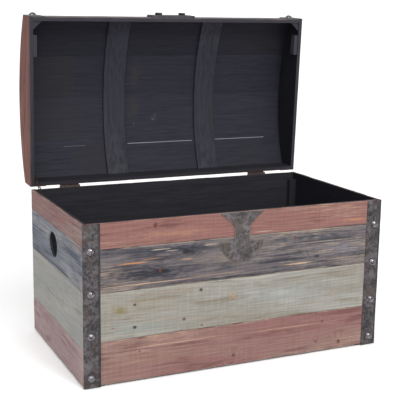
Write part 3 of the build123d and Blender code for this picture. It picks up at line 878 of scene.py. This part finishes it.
LID_RANGE = HINGE["range_deg"][1]
OPEN_LID, CLOSED_LID = lid_turn(-LID_RANGE), lid_turn(LID_RANGE)


def turned(matrix, points):
    return points @ matrix[:3, :3].T + matrix[:3, 3]


def closed_points(node):
    """A lid node's points as they are with the lid closed."""
    return turned(CLOSED_LID, np.array([v.co for v in NODES[node].data.vertices]))


class Dome:
    """The lid's section with the lid closed, measured from its left end board."""

    def __init__(self):
        ends = closed_points("lid_end_left")
        self.rim, self.crown = ends[:, 2].min(), ends[:, 2].max()
        self.front, self.back = ends[:, 1].min(), ends[:, 1].max()
        self.middle = (self.front + self.back) / 2
        self.half = (self.back - self.front) / 2
        at_back = ends[ends[:, 1] > self.back - 0.2 * MM]
        self.shoulder = at_back[:, 2].max()
        rise = self.crown - self.shoulder
        self.radius = (self.half**2 + rise**2) / (2 * rise)
        self.centre = self.crown - self.radius
        self.thick = np.ptp(closed_points("lid_end_left")[:, 0])

    def height(self, y, radius):
        return self.centre + np.sqrt(radius**2 - (y - self.middle) ** 2)


DOME = Dome()


def lid_piece(node, local, faces, points, look, size, seed, marks):
    """A lid board with its finish: paint on the outer face only."""
    # The lid boards' inner black holds painted shade, darkest towards the front board.
    inner = LID_BLACK_STAIN_AND_SHADE.get(node, BLACK_END)
    inner_marks = LID_INNER_MARKS.get(node, ())
    edges = {"paint_depth": 0.9}
    if "stave" not in node:
        edges.update(edge_wear=0.15, rim=LID_RIM)
    material = stained_board(node + "_finish", look, size, seed, marks, inner, inner_marks, **edges)
    return build_piece(node + "_worn", node, turned(OPEN_LID, points), faces, local, material)


def lid_stave(node, look, seed):
    """A bent board of the dome."""
    shape = closed_points(node)
    x0, x1 = shape[:, 0].min(), shape[:, 0].max()
    reach = np.hypot(shape[:, 1] - DOME.middle, shape[:, 2] - DOME.centre)
    inner, outer = reach.min(), reach.max()
    angle = np.arctan2(shape[:, 1] - DOME.middle, shape[:, 2] - DOME.centre)
    spans = []
    for radius in (inner, outer):
        on = np.abs(reach - radius) < 0.6 * MM
        spans.append((angle[on].min(), angle[on].max()))
    size = (x1 - x0, (spans[1][1] - spans[1][0]) * outer, outer - inner)
    local, faces = block(size, BOARD_PITCH, BOARD_LAYERS)
    shaped = worn(local, size, seed, BOARD_WEAR)
    share, depth = shaped[:, 1] / size[1], shaped[:, 2] / size[2]
    start = spans[0][0] * (1 - depth) + spans[1][0] * depth
    stop = spans[0][1] * (1 - depth) + spans[1][1] * depth
    lean = start * (1 - share) + stop * share
    radius = inner + shaped[:, 2]
    points = np.stack(
        [x0 + shaped[:, 0], DOME.middle + radius * np.sin(lean), DOME.centre + radius * np.cos(lean)], 1
    )
    marks = random_marks(seed, size[0], size[1], 6)
    return lid_piece(node, local, faces, points, look, size, seed, marks)


def lid_rim_board(node, look, seed, sign):
    """The straight front or rear board of the lid, its top cut to the dome. sign is -1 in front."""
    shape = closed_points(node)
    x0, x1 = shape[:, 0].min(), shape[:, 0].max()
    thick = np.ptp(shape[:, 1])
    size = (x1 - x0, DOME.shoulder - DOME.rim, thick)
    local, faces = block(size, BOARD_PITCH, BOARD_LAYERS)
    shaped = worn(local, size, seed, BOARD_WEAR)
    y = DOME.middle + sign * (DOME.half - thick + shaped[:, 2])
    top = DOME.height(DOME.middle + sign * (DOME.half - thick + local[:, 2]), DOME.radius)
    z = DOME.rim + shaped[:, 1] / size[1] * (top - DOME.rim)
    points = np.stack([x0 + shaped[:, 0], y, z], 1)
    marks = random_marks(seed, size[0], size[1], 4)
    return lid_piece(node, local, faces, points, look, size, seed, marks)


def lid_end(node, seed, sign):
    """A D-shaped end board. The grain runs from front to back."""
    shape = closed_points(node)
    inner_x = shape[:, 0].max() if sign < 0 else shape[:, 0].min()
    size = (2 * DOME.half, DOME.crown - DOME.rim, DOME.thick)
    local, faces = block(size, BOARD_PITCH, BOARD_LAYERS)
    shaped = worn(local, size, seed, LID_END_WEAR)
    y = DOME.front + shaped[:, 0]
    z = DOME.rim + shaped[:, 1] / size[1] * (DOME.height(y, DOME.radius) - DOME.rim)
    points = np.stack([inner_x + sign * shaped[:, 2], y, z], 1)
    marks = random_marks(seed, size[0], size[1], 4)
    return lid_piece(node, local, faces, points, "lid_end", size, seed, marks)


def lid_boards():
    lid_rim_board("lid_front_board", "slate", 81, -1)
    lid_rim_board("lid_rear_board", "red", 82, 1)
    for number, look in enumerate(("red", "sage", "slate", "rust"), 1):
        lid_stave(f"lid_stave_{number}", look, 82 + number)
    lid_end("lid_end_left", 91, -1)
    lid_end("lid_end_right", 92, 1)


# Iron


def front_strip(node, material, seed):
    """A hammered flat strip on a front corner: along is up, depth is towards the front."""
    low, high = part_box(node)
    size = (high[2] - low[2], high[0] - low[0], high[1] - low[1])
    local, faces = block(size, STRAP_PITCH, STRIP_LAYERS)
    shaped = hammered(local, size, seed)
    points = np.stack([low[0] + shaped[:, 1], high[1] - shaped[:, 2], low[2] + shaped[:, 0]], 1)
    return build_piece(node + "_hammered", node, points, faces, local, material)


def hammered(points, size, seed):
    """Points of a thin strip with shallow hammer marks and uneven edges."""
    shaped = worn(points, size, seed, STRIP_WEAR)
    along, across = points[:, 0], points[:, 1]
    blows = value_noise(along / (9 * MM), across / (9 * MM), seed + 7) * 0.6
    blows += value_noise(along / (4.5 * MM), across / (4.5 * MM), seed + 8) * 0.4
    shaped[:, 2] -= points[:, 2] / size[2] * HAMMER_DEPTH * (0.5 + 0.5 * blows)
    return shaped


def lid_strap(node, material, seed):
    """A strap bent over the end of the lid: up the front, over the dome and down the back."""
    shape = closed_points(node)
    x0, x1 = shape[:, 0].min(), shape[:, 0].max()
    y0, bottom = shape[:, 1].min(), shape[:, 2].min()
    thick = DOME.front - y0
    gap = shape[:, 2].max() - thick - DOME.crown
    path = strap_path(bottom, DOME.radius + gap)
    steps = np.linalg.norm(np.diff(path[:, :2], axis=0), axis=1) + 0.35 * MM
    run = np.concatenate([[0], np.cumsum(steps)])
    size = (run[-1], x1 - x0, thick)
    local, faces = lattice(run, grid_lines(size[1], STRAP_PITCH), STRIP_LAYERS * thick)
    shaped = hammered(local, size, seed)
    at = np.searchsorted(run, local[:, 0] - 1e-9)
    base, normal = path[at, :2], path[at, 2:]
    y = base[:, 0] + normal[:, 0] * shaped[:, 2]
    z = base[:, 1] + normal[:, 1] * shaped[:, 2]
    points = np.stack([x0 + shaped[:, 1], y, z], 1)
    return build_piece(node + "_hammered", node, turned(OPEN_LID, points), faces, local, material)


def strap_path(bottom, radius):
    """Rows of y, z and the outward direction along the strap's hidden face."""
    shoulder = DOME.height(DOME.back, radius)
    lean = math.asin(DOME.half / radius)
    up = np.linspace(bottom, shoulder, 14)
    rows = [(DOME.front, z, -1.0, 0.0) for z in up]
    for turn in np.linspace(-math.pi / 2, -lean, 6)[1:]:
        rows.append((DOME.front, shoulder, math.sin(turn), math.cos(turn)))
    for turn in np.linspace(-lean, lean, 110)[1:]:
        y, z = DOME.middle + radius * math.sin(turn), DOME.centre + radius * math.cos(turn)
        rows.append((y, z, math.sin(turn), math.cos(turn)))
    for turn in np.linspace(lean, math.pi / 2, 6)[1:]:
        rows.append((DOME.back, shoulder, math.sin(turn), math.cos(turn)))
    rows += [(DOME.back, z, 1.0, 0.0) for z in up[::-1][1:]]
    return np.array(rows)


def finish_node(material, *names):
    """Put a material on CAD nodes that keep their shape."""
    for name in names:
        for slot in NODES[name].material_slots:
            slot.link = "OBJECT"
            slot.material = material


def straps():
    """The two strips on the box's front corners and the two straps over the lid."""
    low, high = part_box("front_strip_left")
    width = high[0] - low[0]
    # The strap iron carries painted shade along one long edge.
    iron = mottled_iron("strap_iron_with_edge_shade", (34, 34, 40), (118, 113, 117), (86, 70, 63), width)
    front_strip("front_strip_left", iron, 101)
    front_strip("front_strip_right", iron, 102)
    lid_strap("lid_strap_left", iron, 103)
    lid_strap("lid_strap_right", iron, 104)


def hardware():
    """Finishes of the plates, studs, screws and hinges, and the stay chain."""
    plate_colours = (56, 53, 55), (126, 121, 123), (102, 87, 77)
    # The lock plate's bevelled rim gets worn bare metal and a painted highlight.
    plate = mottled_iron("plate_iron_with_bevel_highlight", *plate_colours, bevel_wear_and_highlight=(146, 134, 126))
    finish_node(plate, "lock_plate")
    cover = mottled_iron("cover_iron_finish", (50, 48, 54), (88, 86, 94), (72, 62, 60))
    finish_node(cover, "lid_cover_plate")
    stud = worn_steel("stud_finish", (148, 146, 152), (84, 79, 80), 0.16, 0.36)
    finish_node(stud, "front_strip_studs", "lid_strap_studs")
    steel = worn_steel("steel_finish", (84, 80, 82), (56, 50, 50), 0.35, 0.6)
    finish_node(steel, "lock_plate_rivets", "hinge_screws_box", "hinge_screws_lid", "lid_cover_bolts")
    hinge = mottled_iron("hinge_iron_finish", (46, 38, 37), (78, 66, 62), (84, 64, 54))
    finish_node(hinge, "hinge_leaves_box", "hinge_leaves_lid", "hinge_pins")
    bronze = worn_steel("bronze_finish", (120, 104, 78), (66, 54, 42), 0.3, 0.5)
    finish_node(bronze, "stay_screw_box", "stay_screw_lid")
    stay_chain(bronze)


def black_pieces():
    """Finishes of the stained wood that keeps its CAD shape."""
    black = ((36, 36, 47), (52, 52, 64))
    finish_node(dark_wood("rib_finish", black, 2), "lid_rib_left", "lid_rib_right")
    finish_node(dark_wood("black_board_finish", black, 0), "floor_board", "lid_gussets")
    finish_node(dark_wood("batten_finish", ((28, 28, 34), (44, 44, 50)), 2), "corner_battens")
    finish_node(dark_wood("block_finish", ((42, 44, 53), (68, 70, 80)), 2), "lid_end_blocks")
    finish_node(dark_wood("foot_finish", ((40, 36, 34), (66, 60, 56)), 0), "feet")


def stay_chain(material):
    """The chain's links copied onto a mesh of their own, in place of the CAD node."""
    mesh = NODES["stay_chain"].data.copy()
    mesh.materials.clear()
    mesh.materials.append(material)
    chain = bpy.data.objects.new("stay_chain_links", mesh)
    bpy.context.scene.collection.objects.link(chain)
    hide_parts("stay_chain")
    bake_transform(chain)


# Studio


def plain_floor():
    """A pale floor that sweeps up far behind the chest."""
    shader = Shader("floor_finish", specular=0.1)
    speckle = shader.noise(shader.object_place(), scale=3.0, detail=2.0)
    colour = shader.grey(shader.band(speckle, 0.3, 0.7, 0.94, 0.97))
    material = shader.finish(colour, 0.9, speckle, 0.01 * MM)
    ground, half_wide, reach, sweep, top = CAD_BOX[0][2], 40.0, 24.0, 6.0, 30.0
    profile = [(-reach, ground)]
    for turn in np.linspace(0, math.pi / 2, 25):
        profile.append((reach + sweep * math.sin(turn), ground + sweep * (1 - math.cos(turn))))
    profile.append((reach + sweep, top))
    points = [(x, y, z) for y, z in profile for x in (-half_wide, half_wide)]
    faces = [(2 * n, 2 * n + 1, 2 * n + 3, 2 * n + 2) for n in range(len(profile) - 1)]
    mesh = bpy.data.meshes.new("studio_floor")
    mesh.from_pydata(points, [], faces)
    for face in mesh.polygons:
        face.use_smooth = True
    mesh.materials.append(material)
    floor = bpy.data.objects.new("studio_floor", mesh)
    bpy.context.scene.collection.objects.link(floor)


def aimed(name, light, location):
    """A lamp turned towards the middle of the chest."""
    lamp = bpy.data.objects.new(name, light)
    bpy.context.scene.collection.objects.link(lamp)
    lamp.location = location
    aim = Vector((0, 0, CAD_BOX[1][2] / 2)) - Vector(location)
    lamp.rotation_mode = "QUATERNION"
    lamp.rotation_quaternion = aim.to_track_quat("-Z", "Y")


def studio():
    """A white room, a broad even light from the front above and a small softbox for the iron's gloss."""
    world = bpy.data.worlds.new("studio_world")
    bpy.context.scene.world = world
    world.use_nodes = True
    sky = world.node_tree.nodes["Background"]
    sky.inputs["Color"].default_value = (1.0, 1.0, 1.0, 1.0)
    sky.inputs["Strength"].default_value = 0.80
    broad = bpy.data.lights.new("broad_light", "SUN")
    broad.energy = 1.4
    broad.angle = math.radians(60)
    aimed("broad_light", broad, (-1.2, -2.4, 3.2))
    gloss = bpy.data.lights.new("gloss_light", "AREA")
    gloss.size = 0.9
    gloss.energy = 60.0
    aimed("gloss_light", gloss, (0.4, -3.4, 2.8))
    plain_floor()


def photo_camera():
    """A long lens, left of the front and a little above the rim, level apart from a slight lean."""
    low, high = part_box("floor_board")
    middle = (low + high) / 2
    level = math.cos(CAMERA_DOWN)
    ahead = Vector((math.sin(CAMERA_YAW) * level, math.cos(CAMERA_YAW) * level, -math.sin(CAMERA_DOWN)))
    right = Vector((math.cos(CAMERA_YAW), -math.sin(CAMERA_YAW), 0))
    up = right.cross(ahead)
    x_axis = math.cos(CAMERA_LEAN) * right + math.sin(CAMERA_LEAN) * up
    y_axis = -math.sin(CAMERA_LEAN) * right + math.cos(CAMERA_LEAN) * up
    data = bpy.data.cameras.new("camera")
    data.sensor_width = 36.0
    data.lens = CAMERA_LENS
    data.clip_end = 200.0
    camera = bpy.data.objects.new("camera", data)
    bpy.context.scene.collection.objects.link(camera)
    turn = Matrix((x_axis, y_axis, -ahead)).transposed().to_4x4()
    place = Vector((middle.x, middle.y, CAD_BOX[0][2])) + Vector(CAMERA_PLACE)
    camera.matrix_world = Matrix.Translation(place) @ turn
    bpy.context.scene.camera = camera


box_boards()
lid_boards()
straps()
hardware()
black_pieces()
studio()
photo_camera()
bpy.context.scene.view_settings.view_transform = "Standard"
